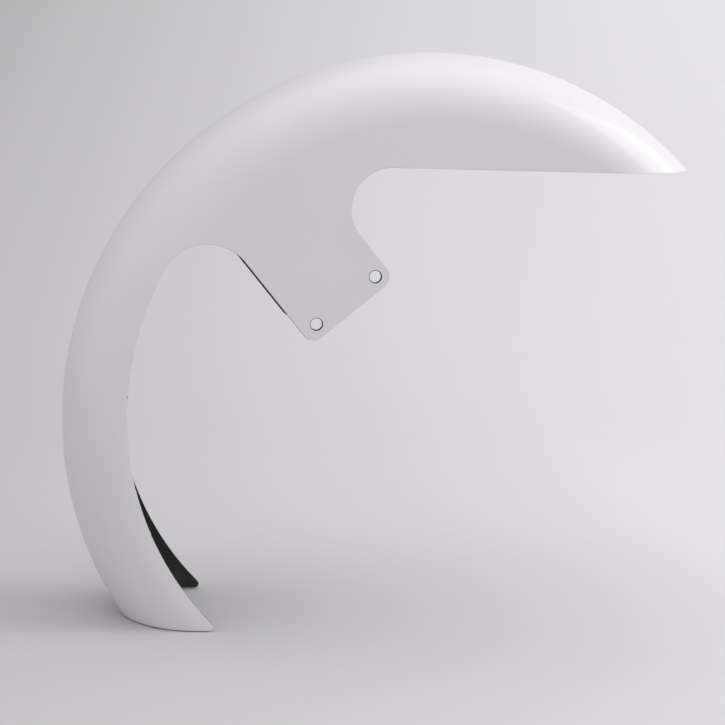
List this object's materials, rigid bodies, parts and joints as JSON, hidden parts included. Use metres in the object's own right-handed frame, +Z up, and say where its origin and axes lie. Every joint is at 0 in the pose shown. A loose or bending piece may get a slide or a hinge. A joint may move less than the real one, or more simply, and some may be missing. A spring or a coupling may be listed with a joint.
{
  "type": "motorcycle front mudguard",
  "caption": "Long one-piece front mudguard with a round crown, a deep tail behind the wheel and a drilled mounting tab on each side.",
  "frame": {"origin": "the centre of the front wheel that the mudguard wraps, on the axle line and midway between the two sides", "axes": "+X forward, +Z up, +Y to the rider's left along the axle; the mudguard is in the place it has on the motorcycle"},
  "size_m": [0.6503, 0.16, 0.5899],
  "materials": {
    "shell": "white satin coat outside, black laminate inside and on the cut edges"
  },
  "bodies": {
    "root": {"mudguard": "shell"}
  },
  "joints": []
}
